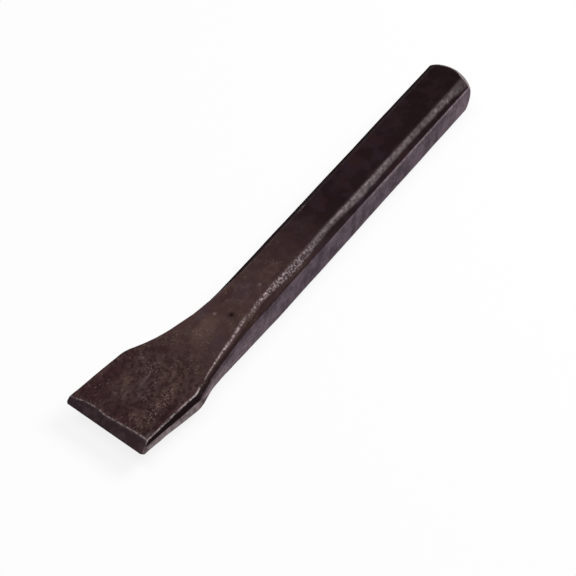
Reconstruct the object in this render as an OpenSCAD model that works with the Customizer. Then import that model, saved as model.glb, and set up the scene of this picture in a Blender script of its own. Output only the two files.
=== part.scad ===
// Flat chisel, forged in one piece from square bar with chamfered corners.
// X runs along the bar towards the cutting edge, and Z points up out of the broad upper face.
// Left is -Y and right is +Y. The origin is the middle of the lower flat of the straight bar.

/* [Bar] */
// Length of the straight bar, from the crown of the struck end to the start of the taper
straight_l = 136; // [90:1:220]
// Width of the bar across its side flats
bar_w = 17.5; // [13:0.5:24]
// Thickness of the bar between its upper and lower flats
bar_t = 17.5; // [13:0.5:24]
// Leg of the chamfers on the two right corners of the bar
chamfer_right = 3.2; // [1:0.1:4.5]
// Leg of the chamfers on the two left corners of the bar
chamfer_left = 2.4; // [1:0.1:4.5]
// How far the crown of the struck end stands out past its corners
crown_h = 5.1; // [1.5:0.1:6]

/* [Taper] */
// Length of the forged taper, from the straight bar to the middle of the cutting edge
taper_l = 65; // [50:1:90]
// Half the length over which the upper and lower flats ease into the taper
ease_l = 11; // [3:0.5:16]
// Thickness of the blade where the ground bevels start
tip_t = 4.8; // [3:0.1:8]
// Angle between the two ground bevels
bevel_angle = 70; // [50:1:90]
// Thickness of the worn line along the cutting edge
edge_land = 0.3; // [0.1:0.05:0.8]

/* [Blade outline] */
// Length of the blade, from its shoulders to the middle of the cutting edge
blade_l = 27; // [15:0.5:36]
// Width of the cutting edge
edge_w = 33.7; // [24:0.1:48]
// Angle of the cutting edge away from square, with the right corner ahead
edge_skew = 3.4; // [-6:0.1:6]
// How far the left shoulder stands out from the bar
flare_left = 11.9; // [2:0.1:18]
// How far the right shoulder stands out from the bar
flare_right = 1.5; // [0.5:0.1:12]
// Radius of the curves that lead from the bar out to the shoulders
flare_r = 65; // [40:1:110]
// How far the right side draws in from its shoulder to the cutting edge
draw_in = 1.8; // [-4:0.1:5]
// Rounding of the two shoulders
shoulder_r = 3; // [0.5:0.1:6]
// Rounding of the right corner of the cutting edge
corner_right_r = 1.6; // [0.3:0.1:3]
// Rounding of the left corner of the cutting edge
corner_left_r = 0.6; // [0.3:0.1:3]

/* [Side hollows] */
// Depth of the hammered hollow in each side of the blade, at its shoulder
hollow_d = 0.9; // [0.3:0.1:1.5]
// Height of the lip above and below each hollow, at its shoulder
lip_h = 0.6; // [0.3:0.1:1.5]
// Length over which each hollow runs out before its shoulder
run_out = 6; // [3:0.5:12]

/* [Hidden] */
$fn = 96;
steel_colour = [0.17, 0.14, 0.14];

// Stations along the bar
head_x = -straight_l / 2;
taper_x = straight_l / 2;
edge_x = taper_x + taper_l;
shoulder_x = edge_x - blade_l;
mid_z = bar_t / 2;

// Ground bevels: their length back from the worn line, and what the line takes off a sharp edge
bevel_tan = tan(bevel_angle / 2);
bevel_run = (tip_t - edge_land) / 2 / bevel_tan;
land_run = edge_land / 2 / bevel_tan;

// Slope of the tapered faces, and half the blade's thickness at a station
taper_angle = atan((bar_t - tip_t) / 2 / (taper_l - bevel_run));
function half_t(x) = mid_z - tan(taper_angle) * (x - taper_x);

// Corners of the blade in plan, right side first
shoulder_right = [shoulder_x, bar_w / 2 + flare_right];
shoulder_left = [shoulder_x, -bar_w / 2 - flare_left];
edge_along = [sin(edge_skew), cos(edge_skew)];
edge_right_y = shoulder_right.y - draw_in;
edge_middle = [edge_x, edge_right_y - edge_w / 2 * edge_along.y];
edge_right = edge_middle + edge_along * edge_w / 2;
edge_left = edge_middle - edge_along * edge_w / 2;

// Length of a flare along the bar, where its curve leaves the bar's side without a corner
function flare_length(depth) = sqrt(2 * flare_r * depth - depth * depth);
flare_left_x = shoulder_x - flare_length(flare_left);
flare_right_x = shoulder_x - flare_length(flare_right);

// Crown of the struck end: a ball through the corners of the bar that reach out furthest
least_leg = min(chamfer_right, chamfer_left);
corner_reach = max(norm([bar_w / 2, mid_z - least_leg]), norm([bar_w / 2 - least_leg, mid_z]));
crown_r = (crown_h * crown_h + corner_reach * corner_reach) / (2 * crown_h);

// Side hollows: half their height at the shoulder and at the cutting edge, and their radius
hollow_half = half_t(shoulder_x) - lip_h;
hollow_tip_half = min(tip_t / 2, hollow_half) * hollow_half / half_t(shoulder_x);
hollow_r = (hollow_half * hollow_half + hollow_d * hollow_d) / (2 * hollow_d);
hollow_tip_d = hollow_d * pow(hollow_tip_half / hollow_half, 2);

// How fast a chamfer runs out where the flare starts, in mm of width for each mm along the bar
fade_rate = 0.3;
// Largest share of a straight stretch that the rounding of one of its corners may take
round_share = 0.48;
// Spare length of cutting solids, and the steps of curves drawn as points
over = 2;
arc_steps = 12;
round_steps = 6;

// Points from the bar's side out to a shoulder, for a flare of the given depth
function flare_points(depth) = [
    for (i = [0:arc_steps])
        let (a = acos(1 - depth / flare_r) * i / arc_steps)
            [shoulder_x - flare_length(depth) + flare_r * sin(a), bar_w / 2 + flare_r * (1 - cos(a))]
];

// Arc that rounds the corner at point b, between its neighbours a and c
function round_corner(a, b, c, r) =
    let (
        u = unit(a - b),
        v = unit(c - b),
        half = acos(u * v) / 2,
        room = round_share * min(norm(a - b), norm(c - b)) * tan(half),
        rr = min(r, room),
        centre = b + unit(u + v) * rr / sin(half),
        start = b + u * rr / tan(half) - centre,
        finish = b + v * rr / tan(half) - centre,
        first = atan2(start.y, start.x),
        turn = atan2(start.x * finish.y - start.y * finish.x, start * finish)
    )
    [
        for (i = [0:round_steps])
            let (angle = first + turn * i / round_steps)
                centre + rr * [cos(angle), sin(angle)]
    ];

function unit(v) = v / norm(v);
function left_of(v) = [-v.y, v.x];
function mirror_y(points) = [for (p = points) [p.x, -p.y]];
function backwards(points) = [for (i = [len(points) - 1:-1:0]) points[i]];
function all_but_last(points) = [for (i = [0:len(points) - 2]) points[i]];

// Outline of the whole chisel seen from above
module plan_outline() {
    right = all_but_last(flare_points(flare_right));
    left = mirror_y(all_but_last(flare_points(flare_left)));
    polygon(concat(
        [[head_x - over, bar_w / 2]],
        right,
        round_corner(right[len(right) - 1], shoulder_right, edge_right, shoulder_r),
        round_corner(shoulder_right, edge_right, edge_left, corner_right_r),
        round_corner(edge_right, edge_left, shoulder_left, corner_left_r),
        round_corner(edge_left, shoulder_left, left[len(left) - 1], shoulder_r),
        backwards(left),
        [[head_x - over, -bar_w / 2]]
    ));
}

// Heights above the middle plane along the upper flat, the easing curve and the taper
function upper_line() =
    let (ease_r = ease_l / tan(taper_angle / 2), front_x = max(edge_left.x, edge_right.x) + over)
    concat(
        [[head_x - over, mid_z]],
        [
            for (i = [0:arc_steps])
                let (a = taper_angle * i / arc_steps)
                    [taper_x - ease_l + ease_r * sin(a), mid_z - ease_r * (1 - cos(a))]
        ],
        [[front_x, half_t(front_x)]]
    );

// Side view of the chisel, the same above and below its middle plane
module side_profile() {
    upper = upper_line();
    polygon(concat(upper, backwards(mirror_y(upper))));
}

module plan_solid() {
    linear_extrude(height = bar_t + 2 * over) plan_outline();
}

module side_solid() {
    reach = 2 * (bar_w + flare_left + flare_right + edge_w);
    translate([0, reach / 2, mid_z]) rotate([90, 0, 0]) linear_extrude(height = reach) side_profile();
}

// Wedge that holds the two ground bevels, turned to the skew of the cutting edge
module bevel_wedge() {
    reach = straight_l + 2 * taper_l;
    apex = land_run;
    translate([edge_middle.x, edge_middle.y, mid_z])
        rotate([0, 0, -edge_skew])
            rotate([90, 0, 0])
                translate([0, 0, -reach])
                    linear_extrude(height = 2 * reach)
                        polygon([
                            [apex, 0],
                            [apex - reach, reach * bevel_tan],
                            [apex - reach, -reach * bevel_tan]
                        ]);
}

// Metal taken off around the crown, from in front of it to just past the corners
module crown_waste() {
    side = 2 * (bar_w + bar_t);
    past_corners = 0.3;
    difference() {
        translate([head_x - 2 * over, -side / 2, mid_z - side / 2])
            cube([2 * over + crown_h + past_corners, side, side]);
        translate([head_x + crown_r, 0, mid_z]) sphere(r = crown_r);
    }
}

// Long block that lies on a chamfer's plane, tipped about a station so that it lifts off towards the blade
module chamfer_block(leg, station, tip, deep) {
    long = 2 * (straight_l + taper_l);
    translate([station, bar_w / 2, bar_t - leg])
        rotate([-45, 0, 0])
            rotate([0, -tip, 0])
                translate([-long / 2, -2 * leg, 0])
                    cube([long, 4 * leg, deep]);
}

// Upper right chamfer, which runs out where the side starts to flare
module chamfer_cut(leg, flare_x) {
    intersection() {
        chamfer_block(leg, 0, 0, leg);
        chamfer_block(leg, flare_x, atan(fade_rate / sqrt(2)), straight_l);
    }
}

// Chamfers of both corners on one side, above and below
module chamfer_pair(leg, flare_x) {
    chamfer_cut(leg, flare_x);
    translate([0, 0, bar_t]) mirror([0, 0, 1]) chamfer_cut(leg, flare_x);
}

// Hollow along one side of the blade, with out as the side's outward direction in plan.
// It is round in section, and runs out in a cone before the shoulder.
module side_hollow(shoulder, corner, out) {
    start = shoulder + out * (hollow_r - hollow_d);
    finish = corner + out * (hollow_r - hollow_tip_d);
    along = finish - start;
    far = norm(along) + over;
    translate([start.x, start.y, mid_z])
        rotate([0, 90, atan2(along.y, along.x)])
            rotate_extrude()
                polygon([
                    [0, -run_out],
                    [hollow_r - hollow_d, -run_out],
                    [hollow_r, 0],
                    [hollow_r, far],
                    [0, far]
                ]);
}

module chisel() {
    color(steel_colour)
        difference() {
            intersection() {
                translate([0, 0, -over]) plan_solid();
                side_solid();
                bevel_wedge();
            }
            crown_waste();
            chamfer_pair(chamfer_right, flare_right_x);
            mirror([0, 1, 0]) chamfer_pair(chamfer_left, flare_left_x);
            side_hollow(shoulder_right, edge_right, left_of(unit(edge_right - shoulder_right)));
            side_hollow(shoulder_left, edge_left, -left_of(unit(edge_left - shoulder_left)));
        }
}

chisel();
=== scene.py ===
# Looks of a flat chisel forged from square bar: worn dark finish, hammered faces and a ground edge.
# Lengths are millimetres in the part's own frame: X towards the cutting edge, Z up, left is -Y.
# They become metres where the mesh and the materials are made. Values whose comment says metres are in
# metres already.
import math

import bpy
import numpy as np
from mathutils import Matrix, Vector, noise


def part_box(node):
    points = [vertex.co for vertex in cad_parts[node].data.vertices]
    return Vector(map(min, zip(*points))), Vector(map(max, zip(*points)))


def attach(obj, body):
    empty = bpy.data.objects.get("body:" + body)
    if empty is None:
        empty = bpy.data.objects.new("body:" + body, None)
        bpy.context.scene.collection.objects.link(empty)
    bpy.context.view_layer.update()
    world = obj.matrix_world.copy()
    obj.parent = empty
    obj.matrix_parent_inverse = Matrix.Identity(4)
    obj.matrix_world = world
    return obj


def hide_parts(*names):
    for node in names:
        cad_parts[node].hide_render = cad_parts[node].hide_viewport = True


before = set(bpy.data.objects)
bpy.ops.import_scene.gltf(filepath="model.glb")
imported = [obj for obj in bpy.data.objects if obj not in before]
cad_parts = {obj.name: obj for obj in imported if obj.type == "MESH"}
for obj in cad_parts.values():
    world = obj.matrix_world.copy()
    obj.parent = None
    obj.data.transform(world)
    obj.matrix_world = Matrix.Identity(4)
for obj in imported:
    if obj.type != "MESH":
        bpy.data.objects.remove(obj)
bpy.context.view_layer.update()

MM = 0.001
BODY = "root"
NODE = "chisel"

# Main sizes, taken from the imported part
BOX_LOW, BOX_HIGH = (np.array(corner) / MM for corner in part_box(NODE))
THICK = BOX_HIGH[2] - BOX_LOW[2]
MID_Z = THICK / 2

# Struck end: its peened crown stands a little past the plain solid's, on a ball set a little to the left.
# It is flatter from side to side than up and down, so only a share of the way across counts on each side
CROWN_OUT = 1.55
CROWN_X = BOX_LOW[0] - CROWN_OUT
CROWN_Y = -0.3
CROWN_R = 12.0
CROWN_LEFT_SHARE = 0.87
CROWN_RIGHT_SHARE = 0.95
RIM_ROUND = 0.5

# How far from the crown's tip the plain rings start, which is behind the whole of its rim
CROWN_DEEP = 8.0

# Upper face: where it starts to ease down, how long the easing is, and the slope after it
EASE_START = 57.0
EASE_LONG = 22.0
TAPER_SLOPE = 0.1024

# Cutting edge: its left and right ends in plan, the thickness of its worn line, and its corners' radii
EDGE_LEFT = np.array([131.95, -25.35])
EDGE_RIGHT = np.array([134.4, 8.4])
EDGE_LAND = 0.3
CORNER_RIGHT_R = 1.5
CORNER_LEFT_R = 0.7

# Counts of points: across the upper and lower faces, on each rounded corner, on each chamfer and side
ACROSS = 60
ROUND = 5
ON_CHAMFER = 6
ON_SIDE = 12

# Rings that round the rim of the struck end
RIM_STEPS = 5

# Steps between the rings along the bar, and the number of rings down the ground bevel
STEP = 0.47
BEVEL_RINGS = 9

# Right side of the chisel: each of its edge lines, as (station, y) or as (station, height)
RIGHT_TOP_Y = [(-70, 5.6), (10, 5.55), (47, 5.25), (67, 5.7), (73, 6.2), (86, 7.65), (93.5, 8.15),
               (99, 8.8), (104.5, 9.7), (106, 10.25), (108, 10.25), (113, 9.4), (130, 7.3)]
RIGHT_SIDE_Y = [(-70, 8.75), (83, 8.75), (91, 8.85), (96, 9.15), (102.5, 9.9), (104.5, 9.5), (114, 8.55),
                (128, 6.7), (130, 6.5)]
RIGHT_SIDE_HIGH = [(-70, 14.34), (70, 14.34), (78, 14.2), (84, 13.3), (100, 10.5), (102.5, 9.7),
                   (104.5, 8.6), (106.5, 7.9), (114, 7.7), (130, 7.9)]
RIGHT_SIDE_LOW = [(-70, 2.7), (59, 2.7), (88, 4.3), (93, 4.7), (97, 5.2), (107.5, 7.0), (114, 7.0),
                  (121, 7.3), (130, 7.3)]
RIGHT_LOW_Y = [(-70, 5.6), (67, 5.6), (90, 7.4), (97.5, 8.45), (103, 9.9), (105.5, 10.35),
               (107.5, 10.25), (122.5, 8.4), (126, 8.2), (131.5, 7.7)]

# Left side, which flares out to the blade and is hollowed like the right one
LEFT_TOP_Y = [(-70, -6.35), (58, -6.35), (64, -6.7), (73, -7.9), (82, -9.8), (92, -12.85), (97, -14.85),
              (100.5, -16.65), (105.5, -19.85), (107.5, -20.7), (117, -22.65), (125, -24.1), (131, -25.3)]
LEFT_SIDE_Y = [(-70, -8.75), (64, -8.75), (69, -8.9), (78, -9.6), (82, -10.2), (92, -12.7), (97, -14.5),
               (102.5, -17.3), (106.5, -19.6), (121, -22.55), (129, -24.35)]
LEFT_SIDE_HIGH = [(-70, 15.3), (66, 15.3), (78, 14.4), (87, 13.1), (97, 10.8), (102, 9.8), (107, 9.2),
                  (113, 8.95), (130, 8.85)]

# How far the rounding of an edge runs along each face, by kind of edge, and the most of a face it takes
ROUND_TOP = 1.15
ROUND_SIDE = 0.34
ROUND_LIP = 0.42
ROUND_LEFT = 0.5
ROUND_MOST = 0.45

# How far the bar's upper chamfers, sides and lower chamfers bow out at their middle
BOWS = np.array([0.12, 0.05, 0.08])

# Stations between which the bar's section turns into the blade's
BLADE_GROWS = (84, 104)

# The line where the ground bevel starts, as (y, station), wavy as a hand grinds it
BEVEL_LINE = [(-26, 130.5), (-23, 130.1), (-19.5, 129.3), (-15, 129.05), (-13.5, 129.15), (-11.5, 129.75),
              (-10, 130.0), (-8.5, 129.8), (3, 129.65), (5.5, 129.8), (8, 130.2), (11, 130.4)]
BEVEL_SOFTEN = 1.2

# Where the rings start to lean towards that line, and over what length
BEVEL_BLEND_X = 118.0
BEVEL_BLEND_LONG = 12.0

# Relief of the faces: its height and the size of its features. The first is on the whole forging and the
# second on the blade alone. The third is the skin's fine grain, which is twice as high on the blade
SWELL, SWELL_SIZE = 0.07, 15.0
LUMPS, LUMPS_SIZE = 0.05, 6.0
GRAIN, GRAIN_SIZE = 0.012, 1.6

# Stations between which the blade's relief grows, and between which grinding smooths it away
RELIEF_GROWS = (62, 92)
GROUND_GROWS = (129.0, 130.4)
GROUND_SMOOTH = 0.85

# Marks in the upper face: (x, y, radius, depth)
DENTS = [
    (75.6, 1.3, 0.75, 0.42),
    (24.0, -5.6, 1.1, 0.22),
    (117.0, -9.8, 0.5, 0.10),
    (127.9, -3.6, 1.3, 0.10),
    (121.4, -13.2, 0.9, 0.09),
    (108.5, -17.5, 1.0, 0.10),
    (112.5, 1.0, 2.2, 0.08),
    (96.0, -3.0, 3.0, 0.08),
    (86.0, 2.5, 2.6, 0.06),
]

# Rubbed band on the upper right chamfer: (station, distance below the face's edge, half width, strength)
BAND = np.array([
    (-66, 2.2, 2.1, 0.45),
    (-59, 1.8, 1.7, 0.5),
    (-52, 1.3, 1.1, 0.95),
    (-44, 1.25, 1.2, 0.85),
    (-34, 1.1, 1.2, 0.65),
    (-17, 1.05, 1.15, 0.9),
    (5, 1.25, 1.4, 1.0),
    (24, 0.65, 1.05, 0.75),
    (46, 1.8, 1.5, 0.8),
    (58, 0.8, 1.1, 0.85),
    (65, 0.5, 0.8, 0.8),
    (70, 0.7, 1.1, 0.35),
    (76, 0.7, 0.8, 0.0),
])

# How bright each edge is rubbed, as (station, strength)
RUB_FACE_EDGE = [(72, 0.0), (76, 0.6), (90, 0.85), (98, 0.85), (101.5, 0.3), (103, 0.3), (104.5, 0.0)]
RUB_LIP_EDGE = [(104.3, 0.0), (105.2, 1.3), (109, 1.2), (113, 0.75), (118, 0.8), (134, 0.8)]
RUB_SIDE_EDGE = [(-70, 0.65), (-8, 0.65), (6, 0.2), (40, 0.1), (60, 0.0)]
RUB_LEFT_EDGE = [(-70, 0.05), (20, 0.05), (23, 0.4), (26, 0.05), (64, 0.15), (80, 0.25), (96, 0.05),
                 (134, 0.15)]
RUB_LOWER_EDGES = [(-70, 0.3), (98, 0.3), (106, 0.0), (134, 0.0)]
RUB_BEVEL_LINE = 0.65

# Painted shade: how dark the chamfer is painted where it runs out and along its lower edge
PAINTED_CHAMFER_SHADE = [(50, 0.0), (60, 0.3), (78, 0.55), (104, 0.75), (108, 0.0)]
PAINTED_EDGE_SHADE = [(30, 0.0), (50, 0.5), (92, 0.6), (100, 0.2), (104, 0.0)]
# Painted shade along the whole left chamfer, as a share of black
PAINTED_LEFT_CHAMFER_SHADE = 0.95
# Painted light: how light the side below the chamfer is painted, most in its lower half, and the lower lip,
# partly rubbed bare and partly painted light
PAINTED_SIDE_LIGHT = [(-70, 0.35), (-55, 0.25), (-45, 0.0), (45, 0.0), (62, 0.25), (84, 0.45), (102.5, 0.85),
              (105, 0.0)]
LIP_WEAR_AND_PAINTED_LIGHT = [(103, 0.0), (105.5, 0.85), (108, 1.1), (124, 1.0), (131, 0.5), (134, 0.5)]

# Where a zone holds: all along, on the bar alone and on the blade alone, as (station, strength)
EVERYWHERE = [(-80, 1.0), (140, 1.0)]
BAR_ONLY = [(-80, 1.0), (103.5, 1.0), (104.5, 0.0), (140, 0.0)]
BLADE_ONLY = [(103.5, 0.0), (105.0, 1.0), (140, 1.0)]

# Stations between which the finish changes: the head's fades, and the blade's and its front's grow
HEAD_FADES = (-45, -15)
BLADE_FINISH_GROWS = (12, 80)
FRONT_FINISH_GROWS = (84, 106)

# Marks of colour on the upper face: (x, y, reach along, reach across, strength)
# Pale marks; the last two, on the chamfer near the head, are painted highlights: glints on its rubbed band
PALE_MARKS_AND_GLINTS = [(59.9, 1.8, 0.5, 0.5, 0.6), (78.3, -3.6, 0.5, 0.5, 0.6), (105.6, -14.3, 0.9, 0.6, 0.35),
              (121.4, -13.0, 0.35, 1.0, 0.28), (119.5, -9.6, 2.2, 0.35, 0.25), (112.5, -7.6, 4.0, 0.5, 0.2),
              (128.3, 5.9, 1.2, 0.35, 0.45), (-44.4, 6.5, 1.4, 0.4, 1.0), (-51.6, 7.0, 0.9, 0.45, 0.9)]
DARK_MARKS = [(75.6, 1.3, 1.3, 1.0, 1.0), (75.9, 2.4, 1.6, 1.3, 0.45), (127.3, 4.6, 1.8, 1.5, 0.55),
              (124.4, -7.4, 1.6, 2.6, 0.5), (119.0, 6.0, 6.0, 0.8, 0.4)]
MAROON = [(124.0, -19.0, 5.0, 5.0, 1.0), (115.6, -18.0, 6.0, 2.6, 0.9), (107.5, -17.0, 3.5, 2.0, 0.7),
          (99.4, -9.5, 3.0, 2.5, 0.6), (127.5, -6.0, 2.2, 9.0, 0.6), (120.0, 6.0, 6.0, 1.6, 0.8),
          (70.0, -5.0, 8.0, 2.0, 0.4)]
TAN = [(106.7, -0.5, 4.5, 3.5, 0.9), (114.5, 2.4, 6.0, 2.6, 0.9), (85.8, -2.7, 6.0, 3.0, 1.0),
       (53.0, 1.4, 6.0, 2.2, 0.9), (125.3, -1.0, 2.5, 3.5, 0.9), (115.0, -12.5, 3.0, 1.8, 0.6)]
SPECKLED = [(113.0, 2.4, 5.0, 2.2, 1.0), (121.0, 2.4, 5.0, 2.6, 0.9), (107.5, -8.5, 3.5, 3.5, 0.6),
            (106.0, -14.3, 1.6, 1.2, 0.8), (126.0, -1.0, 2.5, 4.0, 0.5)]
MAUVE = [(114.3, -4.7, 4.0, 2.6, 1.0), (64.5, -1.5, 5.0, 2.6, 0.9), (87.7, 4.0, 5.0, 1.8, 0.7),
         (76.5, -7.3, 9.0, 1.0, 0.8)]

# How far a normal rises on what counts as an upper face, and on what counts as a ground bevel
FACES_UP = 0.5
BEVEL_UP = 0.4

# Angle between two faces past which the shading breaks
SHARP_ANGLE = math.radians(60)

# Floor: its width in metres, how many metres it lies below the chisel, its paint and its share of white
FLOOR_WIDE = 6.0
FLOOR_DROP = 0.0002
FLOOR_PAINT = (0.92, 0.92, 0.92, 1)
FLOOR_GLOW = 0.85

# Light of the surroundings on the object, and the white that the eye sees
DIM = (0.12, 0.12, 0.12, 1)
WHITE = (1, 1, 1, 1)

# Lamps: the point that they face, in metres. For each, the direction to it from that point, its distance
# and its size in metres, and its power in watts
LAMP_AIM = Vector((0.03, 0, 0))
LAMPS = {
    "key": ((-0.52, 0.35, 0.754), 1.2, 0.55, 11.0),
    "overhead": ((0.20, -0.10, 0.97), 1.3, 0.6, 6.0),
}

# Camera: the point that it faces in metres, how far round from +X and how far up it stands, its distance
# from that point in metres, and its lens and sensor in millimetres
CAMERA_AIM = Vector((0.0498, 0.00654, MID_Z * MM))
CAMERA_ROUND = math.radians(34.97)
CAMERA_UP = math.radians(50.5)
CAMERA_FAR = 0.7344
CAMERA_LENS = 133.175
CAMERA_SENSOR = 36.0

# Spacing of the values that a track keeps, and how far it goes on past its ends
TRACK_STEP = 0.1
TRACK_PAST = 30


def track(points, soften=2.0):
    """A function through the given (place, value) points, with its corners rounded over a length."""
    places, values = np.array(points, float).T
    fine = np.arange(places[0] - TRACK_PAST, places[-1] + TRACK_PAST, TRACK_STEP)
    reach = max(int(soften / TRACK_STEP), 1)
    kernel = np.hanning(2 * reach + 3)[1:-1]
    padded = np.pad(np.interp(fine, places, values), reach, mode="edge")
    smooth = np.convolve(padded, kernel / kernel.sum(), "valid")
    return lambda x: np.interp(x, fine, smooth)


def smooth_step(value, low, high):
    """0 up to low, 1 from high, and a smooth rise between them."""
    t = np.clip((value - low) / (high - low), 0, 1)
    return t * t * (3 - 2 * t)


def noise_at(places, size, shift, octaves=2):
    """Smooth noise from about -1 to 1 at each place, with features about size across."""
    offset = Vector((shift, -0.7 * shift, 1.3 * shift))
    return np.array([noise.fractal(Vector(p) / size + offset, 1.0, 2.0, octaves) for p in places])


def upper_height(x):
    """Height of the upper face above the middle plane, without the ground bevel."""
    past = np.asarray(x, float) - EASE_START
    eased = np.clip(past, 0, EASE_LONG) ** 2 / (2 * EASE_LONG)
    straight = np.maximum(past - EASE_LONG, 0)
    return MID_Z - TAPER_SLOPE * (eased + straight)


def stations():
    """Stations of the rings along the bar, from behind the crown to the bevel line."""
    start = CROWN_X + CROWN_DEEP
    stop = track(BEVEL_LINE, BEVEL_SOFTEN)(0.0)
    count = int(round((stop - start) / STEP))
    return np.linspace(start, stop, count)


def edge_lines(x):
    """The eight edge lines of the section at stations x, each an array of (x, y, z)."""
    top = MID_Z + upper_height(x)
    low = MID_Z - upper_height(x)
    right_side = track(RIGHT_SIDE_Y, soften=0.7)(x)
    left_side = track(LEFT_SIDE_Y, soften=2.0)(x)
    left_high = track(LEFT_SIDE_HIGH, soften=3.0)(x)
    lines = {
        "right_top": (track(RIGHT_TOP_Y, soften=1.0)(x), top),
        "right_high": (right_side, track(RIGHT_SIDE_HIGH, soften=1.5)(x)),
        "right_low": (right_side, track(RIGHT_SIDE_LOW, soften=1.5)(x)),
        "right_bottom": (track(RIGHT_LOW_Y, soften=1.2)(x), low),
        "left_top": (track(LEFT_TOP_Y, soften=1.5)(x), top),
        "left_high": (left_side, left_high),
        "left_low": (left_side, THICK - left_high),
        "left_bottom": (track(LEFT_TOP_Y, soften=1.8)(x), low),
    }
    return {name: np.stack([x, y, z], -1) for name, (y, z) in lines.items()}


def bend(start, corner, stop, count):
    """Points along a curve from start to stop that is drawn towards the corner between them."""
    return [(1 - t) ** 2 * start + 2 * t * (1 - t) * corner + t * t * stop for t in np.linspace(0, 1, count)]


def rounded(before, corner, after, reach):
    """Points of a rounded corner at every station; reach is how far the rounding runs along each face."""
    into, out = before - corner, after - corner
    long_in = np.linalg.norm(into, axis=-1, keepdims=True)
    long_out = np.linalg.norm(out, axis=-1, keepdims=True)
    reach = np.minimum(reach, ROUND_MOST * np.minimum(long_in, long_out))
    return bend(corner + into / long_in * reach, corner, corner + out / long_out * reach, ROUND)


def between(start, stop, count, bulge=0.0):
    """Points between two corners, bowed out by bulge at the middle."""
    along = stop - start
    out = np.stack([np.zeros_like(along[:, 0]), along[:, 2], -along[:, 1]], -1)
    out = out / np.maximum(np.linalg.norm(out, axis=-1, keepdims=True), 1e-9)
    fractions = np.arange(1, count + 1) / (count + 1)
    return [start + f * along + 4 * f * (1 - f) * bulge * out for f in fractions]


def side_chain(lines, names, before, after, reaches, bulge):
    """Points down one side, through its four corners from the upper face to the lower one."""
    corners = [lines[name] for name in names]
    ends = [before] + corners + [after]
    arcs = [rounded(ends[i], ends[i + 1], ends[i + 2], reaches[i]) for i in range(4)]
    chain = list(arcs[0])
    for i, count in enumerate((ON_CHAMFER, ON_SIDE, ON_CHAMFER)):
        chain += between(arcs[i][-1], arcs[i + 1][0], count, bulge[i])
        chain += arcs[i + 1]
    return chain


def rings(x):
    """All points of every ring: the upper face, the left side, the lower face and the right side."""
    lines = edge_lines(x)
    blade = smooth_step(x, *BLADE_GROWS)[:, None]
    face_reach = ROUND_TOP * (1 - blade) + ROUND_LIP * blade
    lip_reach = ROUND_LEFT * (1 - blade) + ROUND_LIP * blade
    bow = BOWS[:, None, None] * (1 - blade)
    left = side_chain(lines, ("left_top", "left_high", "left_low", "left_bottom"), lines["right_top"],
                      lines["right_bottom"], (lip_reach, ROUND_SIDE, ROUND_SIDE, lip_reach), -bow)
    right = side_chain(lines, ("right_top", "right_high", "right_low", "right_bottom"), lines["left_top"],
                       lines["left_bottom"], (face_reach, ROUND_SIDE, ROUND_SIDE, lip_reach), bow)
    top = between(right[0], left[0], ACROSS)
    bottom = between(left[-1], right[-1], ACROSS)
    return np.stack(top + left + bottom + right[::-1], 1)


# Points down one side, points in a whole ring, and the places in a ring where its other parts start
SIDE_POINTS = 4 * ROUND + 2 * ON_CHAMFER + ON_SIDE
RING = 2 * ACROSS + 2 * SIDE_POINTS
LEFT_START = ACROSS
BOTTOM_START = ACROSS + SIDE_POINTS
RIGHT_START = 2 * ACROSS + SIDE_POINTS


def crown_x(y, z):
    """Station of the struck end's ball over a point of the section."""
    across = (y - CROWN_Y) * np.where(y < CROWN_Y, CROWN_LEFT_SHARE, CROWN_RIGHT_SHARE)
    return CROWN_X + CROWN_R - np.sqrt(CROWN_R ** 2 - across ** 2 - (z - MID_Z) ** 2)


def head_rings(first):
    """Rings from the ball's rim to the first plain ring, with the rim rounded."""
    y, z = first[:, 1], first[:, 2]
    rim = np.stack([crown_x(y, z), y, z], -1)
    back = rim + np.array([RIM_ROUND, 0, 0])
    shrink = 1 - RIM_ROUND / np.hypot(y, z - MID_Z)
    front_y, front_z = y * shrink, MID_Z + (z - MID_Z) * shrink
    front = np.stack([crown_x(front_y, front_z), front_y, front_z], -1)
    count = int(round(np.min(first[:, 0] - back[:, 0]) / STEP))
    return bend(front, rim, back, RIM_STEPS) + [back + (first - back) * k / count for k in range(1, count)]


def skew_to_bevel(body):
    """Leans the last rings so that the very last lies on the bevel line."""
    line = track(BEVEL_LINE, BEVEL_SOFTEN)
    share = smooth_step(body[:, :, 0], BEVEL_BLEND_X, BEVEL_BLEND_X + BEVEL_BLEND_LONG)
    moved = body.copy()
    moved[:, :, 0] += share * (line(body[:, :, 1]) - line(0.0))
    height = upper_height(moved[:, :, 0]) / upper_height(body[:, :, 0])
    moved[:, :, 2] = MID_Z + (body[:, :, 2] - MID_Z) * height
    return moved


def edge_ring(last):
    """The ring on the cutting edge that matches the ring on the bevel line."""
    y = last[:, 1]
    left, right = y[LEFT_START], y[-1]
    share = np.clip((y - left) / (right - left), 0, 1)
    share[LEFT_START:BOTTOM_START] = 0
    share[RIGHT_START:] = 1
    plan = EDGE_LEFT + share[:, None] * (EDGE_RIGHT - EDGE_LEFT)
    tall = np.abs(last[:, 2] - MID_Z).max()
    z = MID_Z + (last[:, 2] - MID_Z) / tall * EDGE_LAND / 2
    return np.stack([plan[:, 0], plan[:, 1], z], -1)


def bevel_rings(last):
    """Rings down the ground bevel, after the ring on the bevel line."""
    final = edge_ring(last)
    return [last + (final - last) * k / BEVEL_RINGS for k in range(1, BEVEL_RINGS + 1)]


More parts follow.
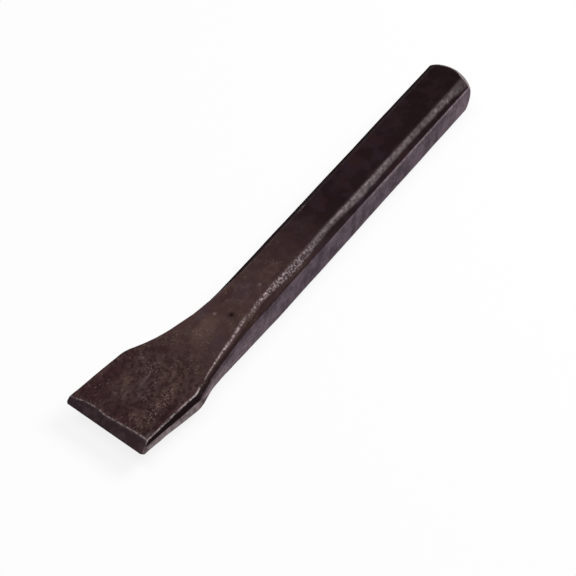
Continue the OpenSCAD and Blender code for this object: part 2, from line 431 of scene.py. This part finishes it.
def round_corner(points, corner, along_side, along_edge, radius):
    """Rounds one corner of the cutting edge in plan. Both directions point from the corner into the metal."""
    basis = np.stack([along_side, along_edge], -1)
    local = (points[:, :2] - corner) @ np.linalg.inv(basis).T
    inner = radius - local
    reach = inner.max(1)
    near = (inner.min(1) > 0) & (local.min(1) > -1e-6)
    scale = np.where(near, reach / np.maximum(np.hypot(inner[:, 0], inner[:, 1]), 1e-9), 1)
    local = np.where(near[:, None], radius - inner * scale[:, None], local)
    points[:, :2] = corner + local @ basis.T
    return points


def unit(vector):
    """The vector at a length of 1."""
    return vector / np.linalg.norm(vector)


def all_rings():
    """Every ring from the crown's rim to the cutting edge."""
    body = skew_to_bevel(rings(stations()))
    return np.array(head_rings(body[0]) + list(body) + bevel_rings(body[-1]))


def round_edge_corners(places, start):
    """Rounds both corners of the cutting edge. start is the ring on the bevel line."""
    edge = unit(EDGE_RIGHT - EDGE_LEFT)
    right, left = start[start[:, 1].argmax(), :2], start[start[:, 1].argmin(), :2]
    places = round_corner(places, EDGE_RIGHT, unit(right - EDGE_RIGHT), -edge, CORNER_RIGHT_R)
    return round_corner(places, EDGE_LEFT, unit(left - EDGE_LEFT), edge, CORNER_LEFT_R)


def ring_faces(count):
    """Four-sided faces between neighbouring rings."""
    i, j = np.meshgrid(np.arange(count - 1), np.arange(RING), indexing="ij")
    after = (j + 1) % RING
    faces = np.stack([i * RING + j, i * RING + after, (i + 1) * RING + after, (i + 1) * RING + j], -1)
    return faces.reshape(-1, 4).tolist()


def head_cap(rim, first_new):
    """Grid that fills the struck end inside its rim: new points on the ball, and the faces."""
    top = [RING - 1] + list(range(ACROSS)) + [LEFT_START]
    left = list(range(LEFT_START, BOTTOM_START))
    bottom = [RIGHT_START] + list(range(RIGHT_START - 1, BOTTOM_START - 1, -1)) + [BOTTOM_START - 1]
    right = [RING - 1 - k for k in range(SIDE_POINTS)]
    wide, tall = len(top), len(left)
    grid = np.zeros((wide, tall), int)
    grid[:, 0], grid[:, -1], grid[-1, :], grid[0, :] = top, bottom, left, right
    new = []
    for i in range(1, wide - 1):
        u = i / (wide - 1)
        for j in range(1, tall - 1):
            v = j / (tall - 1)
            edges = (1 - v) * rim[top[i]] + v * rim[bottom[i]] + (1 - u) * rim[right[j]] + u * rim[left[j]]
            corners = (1 - v) * ((1 - u) * rim[top[0]] + u * rim[top[-1]])
            corners = corners + v * ((1 - u) * rim[bottom[0]] + u * rim[bottom[-1]])
            place = edges - corners
            place[0] = crown_x(place[1], place[2])
            grid[i, j] = first_new + len(new)
            new.append(place)
    a, b, c, d = grid[:-1, :-1], grid[:-1, 1:], grid[1:, 1:], grid[1:, :-1]
    return np.array(new), np.stack([a, b, c, d], -1).reshape(-1, 4).tolist()


def edge_cap(offset):
    """Faces of the worn line along the cutting edge."""
    faces = []
    low = [RIGHT_START - 1 - k for k in range(ACROSS)]
    for k in range(ACROSS - 1):
        faces.append([offset + k + 1, offset + low[k + 1], offset + low[k], offset + k])
    left = range(LEFT_START - 1, BOTTOM_START + 1)
    right = list(range(RIGHT_START - 1, RING)) + [0]
    return faces + [[offset + k for k in left], [offset + k for k in right]]


def build_mesh():
    """The whole forging as one closed mesh, before its surface is worked."""
    grid = all_rings()
    places = round_edge_corners(grid.reshape(-1, 3).copy(), grid[-BEVEL_RINGS - 1])
    count = len(grid)
    new, cap = head_cap(places[:RING], len(places))
    faces = ring_faces(count) + cap + edge_cap((count - 1) * RING)
    places = np.vstack([places, new])
    mesh = bpy.data.meshes.new("chisel_forging")
    mesh.from_pydata((places * MM).tolist(), [], faces)
    mesh.validate()
    mesh.update()
    return mesh, places, count


def vertex_normals(mesh):
    """The mesh's normal at each of its points."""
    values = np.empty(len(mesh.vertices) * 3, np.float32)
    mesh.vertex_normals.foreach_get("vector", values)
    return values.reshape(-1, 3).astype(float)


def surface_relief(places, normals):
    """Height of the hand-forged relief over every point."""
    x, y, z = places.T
    blade = smooth_step(x, *RELIEF_GROWS)
    ground = smooth_step(x, *GROUND_GROWS)
    near_edge = 1 - smooth_step(np.abs(z - MID_Z), 0.2, 1.0)
    upward = smooth_step(normals[:, 2], 0.6, 0.9)
    relief = SWELL * noise_at(places, SWELL_SIZE, shift=3.0)
    relief += LUMPS * blade * noise_at(places, LUMPS_SIZE, shift=9.0)
    relief += GRAIN * (1 + blade) * noise_at(places, GRAIN_SIZE, shift=17.0, octaves=3)
    for dent_x, dent_y, radius, depth in DENTS:
        away = np.hypot(x - dent_x, y - dent_y) / radius
        relief -= depth * upward * np.exp(-away ** 2)
    return relief * (1 - ground * (GROUND_SMOOTH + (1 - GROUND_SMOOTH) * near_edge))


# Where each part of a side chain starts, counted from the upper face down
UPPER_CHAMFER = ROUND
HIGH_EDGE = UPPER_CHAMFER + ON_CHAMFER
SIDE_FACE = HIGH_EDGE + ROUND
LOW_EDGE = SIDE_FACE + ON_SIDE
LOWER_CHAMFER = LOW_EDGE + ROUND
BOTTOM_EDGE = LOWER_CHAMFER + ON_CHAMFER


def down_side(side, first, last):
    """Columns of the ring grid for the points from first to last down one side."""
    down = np.arange(first, last)
    return LEFT_START + down if side == "left" else RING - 1 - down


def strip(x, side, first, last, strength):
    """Values on the points from first to last down one side, from a list of (station, strength)."""
    values = np.zeros_like(x)
    columns = down_side(side, first, last)
    values[:, columns] = track(strength, soften=1.0)(x[:, columns])
    return values


def rubbed_band(grid):
    """Band on the upper right chamfer, placed by how far down the chamfer it lies."""
    columns = down_side("right", 0, HIGH_EDGE)
    edge = grid[:, down_side("right", ROUND // 2, ROUND // 2 + 1)]
    away = grid[:, columns] - edge
    below = (away[..., 1] - away[..., 2]) / math.sqrt(2)
    x = grid[:, columns, 0]
    centre, half, strength = (np.interp(x, BAND[:, 0], BAND[:, k]) for k in (1, 2, 3))
    values = np.zeros(grid.shape[:2])
    values[:, columns] = strength * (1 - smooth_step(np.abs(below - centre) / half, 0.3, 1.4))
    return values


def marks(places, normals, spots):
    """Soft marks of colour on the upper face."""
    x, y = places[..., 0], places[..., 1]
    values = np.zeros(x.shape)
    for mark_x, mark_y, along, across, strength in spots:
        away = ((x - mark_x) / along) ** 2 + ((y - mark_y) / across) ** 2
        values = np.maximum(values, strength * np.exp(-away))
    return values * (normals[..., 2] > FACES_UP)


def ring_zones(grid, normals):
    """Where the finish, the painted shade and the painted light change on the rings, as values from 0 to 1
    for each zone.
    """
    x = grid[..., 0]
    lines = strip(x, "right", 1, 3, RUB_FACE_EDGE) + strip(x, "right", 0, 4, RUB_LIP_EDGE)
    lines += strip(x, "right", HIGH_EDGE + 3, SIDE_FACE + 1, RUB_SIDE_EDGE)
    lines += strip(x, "left", 1, 4, RUB_LEFT_EDGE)
    for side in ("left", "right"):
        lines += strip(x, side, LOW_EDGE, LOWER_CHAMFER, RUB_LOWER_EDGES)
        lines += strip(x, side, BOTTOM_EDGE, SIDE_POINTS, RUB_LOWER_EDGES)
    bevel_line = np.zeros_like(x)
    bevel_line[-BEVEL_RINGS - 1] = RUB_BEVEL_LINE * (normals[-BEVEL_RINGS - 1, :, 2] > FACES_UP)

    # The sides' own purple-grey, painted lighter than the upper face partly as painted light
    side = strip(x, "right", HIGH_EDGE + 2, LOWER_CHAMFER, BAR_ONLY)
    side += strip(x, "left", HIGH_EDGE + 2, LOWER_CHAMFER, EVERYWHERE)
    # Painted shade in the hollows of the blade's sides, on both sides
    hollow_shade = strip(x, "right", 3, LOW_EDGE, BLADE_ONLY) + strip(x, "left", 3, LOW_EDGE, BLADE_ONLY)
    # Painted shade along the left chamfer
    rim = PAINTED_LEFT_CHAMFER_SHADE * strip(x, "left", 3, HIGH_EDGE + 3, EVERYWHERE)
    # Painted shade on the chamfer's run-out and on the corner below it
    chamfer = strip(x, "right", UPPER_CHAMFER + 1, HIGH_EDGE + 1, PAINTED_CHAMFER_SHADE)
    corner = strip(x, "right", HIGH_EDGE, HIGH_EDGE + 3, PAINTED_EDGE_SHADE)
    # Painted light on the lower lip and the lower side, drawn as rubbed steel; the lip is partly rubbed bare
    # too
    pale = strip(x, "right", LOW_EDGE + 2, BOTTOM_EDGE + 2, LIP_WEAR_AND_PAINTED_LIGHT)
    lower_half = SIDE_FACE + ON_SIDE // 2
    pale += strip(x, "right", lower_half, LOW_EDGE + 3, PAINTED_SIDE_LIGHT)
    pale += 0.5 * strip(x, "right", SIDE_FACE + 3, lower_half, PAINTED_SIDE_LIGHT)
    pale[:RIM_STEPS - 1] = 1.0

    ground = np.zeros_like(x)
    ground[-BEVEL_RINGS:] = np.abs(normals[-BEVEL_RINGS:, :, 2]) > BEVEL_UP
    return {
        "rub_line": np.maximum(lines, bevel_line),
        "rub_band": rubbed_band(grid),
        "side_tone_and_painted_light": side,
        "painted_shade_and_stains": np.maximum.reduce([hollow_shade, rim, chamfer, corner, marks(grid, normals, DARK_MARKS)]),
        "pale_wear_and_painted_light": np.maximum(pale, marks(grid, normals, PALE_MARKS_AND_GLINTS)),
        "speckled": marks(grid, normals, SPECKLED),
        "maroon": marks(grid, normals, MAROON),
        "tan": marks(grid, normals, TAN),
        "mauve": marks(grid, normals, MAUVE),
        "head": 1 - smooth_step(x, *HEAD_FADES),
        "blade": smooth_step(x, *BLADE_FINISH_GROWS),
        "front": smooth_step(x, *FRONT_FINISH_GROWS),
        "ground": ground,
    }


# Zones that are full on the points that fill the struck end. The others are empty there
ON_CROWN = {"pale_wear_and_painted_light": 1.0, "head": 1.0}


def store_zones(mesh, places, normals, ring_count):
    """Writes every zone onto the mesh, the rings first and the struck end's own points after them."""
    on_rings = ring_count * RING
    shape = (ring_count, RING, 3)
    zones = ring_zones(places[:on_rings].reshape(shape), normals[:on_rings].reshape(shape))
    for name, ring_values in zones.items():
        values = np.full(len(places), ON_CROWN.get(name, 0.0), np.float32)
        values[:on_rings] = np.clip(ring_values, 0, 1).ravel()
        attribute = mesh.attributes.new(name, "FLOAT", "POINT")
        attribute.data.foreach_set("value", values)


class NodeKit:
    """Short ways to add nodes to one material or world."""

    def __init__(self, owner):
        owner.use_nodes = True
        self.tree = owner.node_tree
        self.tree.nodes.clear()
        self.where = self.add("ShaderNodeTexCoord").outputs["Object"]

    def add(self, kind, **settings):
        """A new node of this kind, with these settings."""
        node = self.tree.nodes.new(kind)
        for key, value in settings.items():
            setattr(node, key, value)
        return node

    def put(self, socket, value):
        """Links another node's output to the socket, or sets a plain value on it."""
        if isinstance(value, bpy.types.NodeSocket):
            self.tree.links.new(value, socket)
        else:
            socket.default_value = value

    def pattern(self, size, detail=3.0, rough=0.55, stretch=(1, 1, 1)):
        """Cloudy pattern with features about size across, in mm."""
        scale = self.add("ShaderNodeMapping")
        self.put(scale.inputs["Vector"], self.where)
        self.put(scale.inputs["Scale"], [s / (size * MM) for s in stretch])
        texture = self.add("ShaderNodeTexNoise")
        self.put(texture.inputs["Vector"], scale.outputs["Vector"])
        self.put(texture.inputs["Scale"], 1.0)
        self.put(texture.inputs["Detail"], detail)
        self.put(texture.inputs["Roughness"], rough)
        return texture.outputs["Fac"]

    def ramp(self, value, low, high, start=0.0, stop=1.0):
        """Takes low to high smoothly to start to stop, and holds them beyond."""
        node = self.add("ShaderNodeMapRange", interpolation_type="SMOOTHSTEP")
        sockets = {"Value": value, "From Min": low, "From Max": high, "To Min": start, "To Max": stop}
        for name, number in sockets.items():
            self.put(node.inputs[name], number)
        return node.outputs["Result"]

    def maths(self, kind, a, b):
        """The result of one sum on two values."""
        node = self.add("ShaderNodeMath", operation=kind)
        self.put(node.inputs[0], a)
        self.put(node.inputs[1], b)
        return node.outputs[0]

    def times(self, a, b):
        """The product of two values."""
        return self.maths("MULTIPLY", a, b)

    def blend(self, share, first, second):
        """The first colour at a share of 0, the second at 1."""
        node = self.add("ShaderNodeMix", data_type="RGBA")
        self.put(node.inputs[0], share)
        self.put(node.inputs[6], first)
        self.put(node.inputs[7], second)
        return node.outputs[2]

    def seen_rays(self):
        """1 for what the eye sees, mirrored and through glass too, and 0 for what lights the object."""
        rays = self.add("ShaderNodeLightPath").outputs
        bent = self.maths("MAXIMUM", rays["Is Glossy Ray"], rays["Is Transmission Ray"])
        return self.maths("MAXIMUM", rays["Is Camera Ray"], bent)

    def zone(self, name):
        """One of the zones that the mesh holds."""
        return self.add("ShaderNodeAttribute", attribute_name=name).outputs["Fac"]


def bar_colour(kit):
    """Near-black lacquer in slow patches of purple and red, darkest near the struck end."""
    dark, purple = (0.0044, 0.0008, 0.0011, 1), (0.0138, 0.0068, 0.0098, 1)
    red = (0.0150, 0.0056, 0.0062, 1)
    patches = kit.ramp(kit.pattern(9.0, 2.0), 0.42, 0.56)
    warm = kit.blend(kit.ramp(kit.pattern(6.0, 2.0), 0.42, 0.60), purple, red)
    colour = kit.blend(kit.ramp(patches, 0.0, 1.0, 0.35, 1.0), dark, warm)
    near_head = kit.times(kit.zone("head"), kit.ramp(kit.pattern(4.0, 2.0), 0.42, 0.58, 1.0, 0.4))
    return kit.blend(near_head, colour, dark)


def blade_colour(kit):
    """Brown forge scale in soft patches, with a dark grain that grows coarser towards the edge."""
    brown, olive = (0.0600, 0.0345, 0.0320, 1), (0.0510, 0.0350, 0.0220, 1)
    tan, mauve = (0.0800, 0.0470, 0.0400, 1), (0.0580, 0.0360, 0.0395, 1)
    maroon, deep = (0.0370, 0.0155, 0.0170, 1), (0.0200, 0.0088, 0.0092, 1)
    edges = kit.pattern(2.6, 4.0, 0.65)
    colour = kit.blend(kit.ramp(kit.pattern(7.0, 2.0), 0.52, 0.64, 0.0, 0.5), brown, olive)
    for name, tint in (("tan", tan), ("mauve", mauve), ("maroon", maroon)):
        frayed = kit.ramp(kit.maths("ADD", kit.zone(name), edges), 0.65, 1.05)
        colour = kit.blend(frayed, colour, tint)
    soft = kit.ramp(kit.pattern(3.5, 4.0, 0.6), 0.40, 0.62, 0.45, 0.0)
    coarse = kit.ramp(kit.pattern(1.9, 5.0, 0.65), 0.38, 0.58, 0.95, 0.0)
    colour = kit.blend(soft, colour, maroon)
    return kit.blend(kit.times(coarse, kit.zone("front")), colour, deep)


def side_colour_and_painted_light(kit):
    """Purple-grey sides, mottled across the bar, painted much lighter than the upper face, partly as painted
    light.
    """
    light, dark = (0.100, 0.062, 0.084, 1), (0.031, 0.014, 0.025, 1)
    mottle = kit.pattern(3.6, 5.0, 0.65, stretch=(0.8, 1, 0.6))
    return kit.blend(kit.ramp(mottle, 0.36, 0.64), dark, light)


def ground_colour(kit):
    """Dull mauve-grey of the ground bevels, a little streaked."""
    light, dark = (0.052, 0.033, 0.038, 1), (0.032, 0.018, 0.021, 1)
    return kit.blend(kit.ramp(kit.pattern(3.0, 4.0, 0.65), 0.40, 0.60), dark, light)


def specks(kit):
    """Small pale specks, strewn over the blade and thick in a few places."""
    grains = kit.ramp(kit.pattern(0.75, 2.0), 0.54, 0.68)
    strewn = kit.ramp(kit.pattern(7.0, 2.0), 0.44, 0.64, 0.05, 0.35)
    places = kit.maths("MAXIMUM", kit.times(strewn, kit.zone("blade")), kit.zone("speckled"))
    return kit.times(grains, places)


def rubbing(kit):
    """How far the finish is rubbed off, and where light is painted as bare steel: lines along the edges, the
    chamfer's band and the pale places.
    """
    lines = kit.times(kit.zone("rub_line"), kit.ramp(kit.pattern(1.2, 4.0, 0.65), 0.40, 0.58, 0.12, 0.95))
    satin = kit.ramp(kit.pattern(1.6, 5.0, 0.7), 0.34, 0.68, 0.20, 0.58)
    flecks = kit.ramp(kit.pattern(0.75, 3.0), 0.46, 0.60, 0.10, 0.95)
    flecked = kit.ramp(kit.zone("blade"), 0.02, 0.5)
    share = kit.maths("ADD", satin, kit.times(flecked, kit.maths("SUBTRACT", flecks, satin)))
    band = kit.times(kit.zone("rub_band"), share)
    pale = kit.times(kit.zone("pale_wear_and_painted_light"), kit.ramp(kit.pattern(1.8, 4.0), 0.30, 0.65, 0.30, 0.85))
    return kit.maths("MAXIMUM", kit.maths("MAXIMUM", lines, band), pale)


def surface_grain(kit):
    """Fine unevenness of the scale, as a bump."""
    grain = kit.maths("ADD", kit.times(kit.pattern(0.5, 3.0), 0.5), kit.pattern(1.7, 3.0))
    bump = kit.add("ShaderNodeBump")
    kit.put(bump.inputs["Height"], grain)
    kit.put(bump.inputs["Strength"], 0.35)
    kit.put(bump.inputs["Distance"], 0.1 * MM)
    return bump.outputs["Normal"]


def make_material():
    """Dark oxide and lacquer over forged steel, browner on the blade, worn bright along its edges, with
    painted shade in its hollows and painted light on its lower side.
    """
    material = bpy.data.materials.new("worn_forged_steel")
    kit = NodeKit(material)
    shade_and_stain_black, speck_pink = (0.0075, 0.0022, 0.0030, 1), (0.220, 0.140, 0.132, 1)
    bare_steel_and_painted_light = (0.290, 0.238, 0.245, 1)

    dark, worn = kit.zone("painted_shade_and_stains"), rubbing(kit)
    colour = kit.blend(kit.zone("blade"), bar_colour(kit), blade_colour(kit))
    colour = kit.blend(kit.zone("side_tone_and_painted_light"), colour, side_colour_and_painted_light(kit))
    colour = kit.blend(specks(kit), colour, speck_pink)
    colour = kit.blend(kit.zone("ground"), colour, ground_colour(kit))
    # Black for the painted shade in the hollows and along some edges, and for the dark stains
    colour = kit.blend(dark, colour, shade_and_stain_black)
    # Rubbed bare steel, which also carries the painted light on the lower side, the lip and the two glints
    colour = kit.blend(worn, colour, bare_steel_and_painted_light)

    roughness = kit.ramp(kit.pattern(1.1, 3.0), 0.3, 0.7, 0.36, 0.48)
    roughness = kit.maths("ADD", roughness, kit.times(kit.zone("blade"), 0.08))
    roughness = kit.maths("ADD", roughness, kit.times(dark, 0.5))

    shader = kit.add("ShaderNodeBsdfPrincipled")
    kit.put(shader.inputs["Base Color"], colour)
    kit.put(shader.inputs["Metallic"], kit.times(worn, 0.6))
    kit.put(shader.inputs["Roughness"], roughness)
    kit.put(shader.inputs["Specular IOR Level"], 0.05)
    kit.put(shader.inputs["Specular Tint"], (1.0, 0.75, 0.85, 1))
    kit.put(shader.inputs["Normal"], surface_grain(kit))
    output = kit.add("ShaderNodeOutputMaterial")
    kit.put(output.inputs["Surface"], shader.outputs[0])
    return material


def make_chisel():
    """The forging, with its relief worked into the mesh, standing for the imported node."""
    mesh, places, ring_count = build_mesh()
    normals = vertex_normals(mesh)
    worked = places + normals * surface_relief(places, normals)[:, None]
    mesh.vertices.foreach_set("co", (worked * MM).astype(np.float32).ravel())
    mesh.update()
    store_zones(mesh, places, normals, ring_count)
    mesh.shade_smooth()
    mesh.set_sharp_from_angle(angle=SHARP_ANGLE)
    mesh.materials.append(make_material())
    piece = bpy.data.objects.new("chisel_forging", mesh)
    bpy.context.scene.collection.objects.link(piece)
    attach(piece, BODY)
    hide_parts(NODE)


def make_floor():
    """Ground that looks mostly white, with the object's shadow left in."""
    bpy.ops.mesh.primitive_plane_add(size=FLOOR_WIDE, location=(0, 0, -FLOOR_DROP))
    floor = bpy.context.object
    floor.name = "ground"
    material = bpy.data.materials.new("white_ground")
    kit = NodeKit(material)
    paper = kit.add("ShaderNodeBsdfDiffuse")
    kit.put(paper.inputs["Color"], FLOOR_PAINT)
    white = kit.add("ShaderNodeEmission")
    kit.put(white.inputs["Strength"], 1.0)
    mixed = kit.add("ShaderNodeMixShader")
    kit.put(mixed.inputs[0], kit.times(kit.seen_rays(), FLOOR_GLOW))
    kit.put(mixed.inputs[1], paper.outputs[0])
    kit.put(mixed.inputs[2], white.outputs[0])
    output = kit.add("ShaderNodeOutputMaterial")
    kit.put(output.inputs["Surface"], mixed.outputs[0])
    floor.data.materials.append(material)


def make_world():
    """Soft dim surroundings for the light, and plain white for the eye and for reflections."""
    world = bpy.data.worlds.new("studio")
    kit = NodeKit(world)
    soft = kit.add("ShaderNodeBackground")
    kit.put(soft.inputs["Color"], DIM)
    white = kit.add("ShaderNodeBackground")
    kit.put(white.inputs["Color"], WHITE)
    mixed = kit.add("ShaderNodeMixShader")
    kit.put(mixed.inputs[0], kit.seen_rays())
    kit.put(mixed.inputs[1], soft.outputs[0])
    kit.put(mixed.inputs[2], white.outputs[0])
    output = kit.add("ShaderNodeOutputWorld")
    kit.put(output.inputs["Surface"], mixed.outputs[0])
    bpy.context.scene.world = world


def make_lamp(name, direction, distance, size, power):
    """Soft square lamp that faces the middle of the object."""
    data = bpy.data.lights.new(name, "AREA")
    data.shape = "SQUARE"
    data.size = size
    data.energy = power
    lamp = bpy.data.objects.new(name, data)
    bpy.context.scene.collection.objects.link(lamp)
    towards = Vector(direction).normalized()
    lamp.location = LAMP_AIM + towards * distance
    lamp.rotation_euler = towards.to_track_quat("Z", "Y").to_euler()


def make_camera():
    """Camera of the photograph: high on the right, looking back along the bar."""
    data = bpy.data.cameras.new("camera")
    data.sensor_width = CAMERA_SENSOR
    data.lens = CAMERA_LENS
    camera = bpy.data.objects.new("camera", data)
    bpy.context.scene.collection.objects.link(camera)
    level = math.cos(CAMERA_UP)
    towards = Vector((level * math.cos(CAMERA_ROUND), level * math.sin(CAMERA_ROUND), math.sin(CAMERA_UP)))
    turn = towards.to_track_quat("Z", "Y").to_matrix().to_4x4()
    camera.matrix_world = Matrix.Translation(CAMERA_AIM + towards * CAMERA_FAR) @ turn
    bpy.context.scene.camera = camera


bpy.context.scene.view_settings.view_transform = "Standard"
make_camera()
make_chisel()
make_floor()
make_world()
for lamp_name, (direction, distance, size, power) in LAMPS.items():
    make_lamp(lamp_name, direction, distance, size, power)
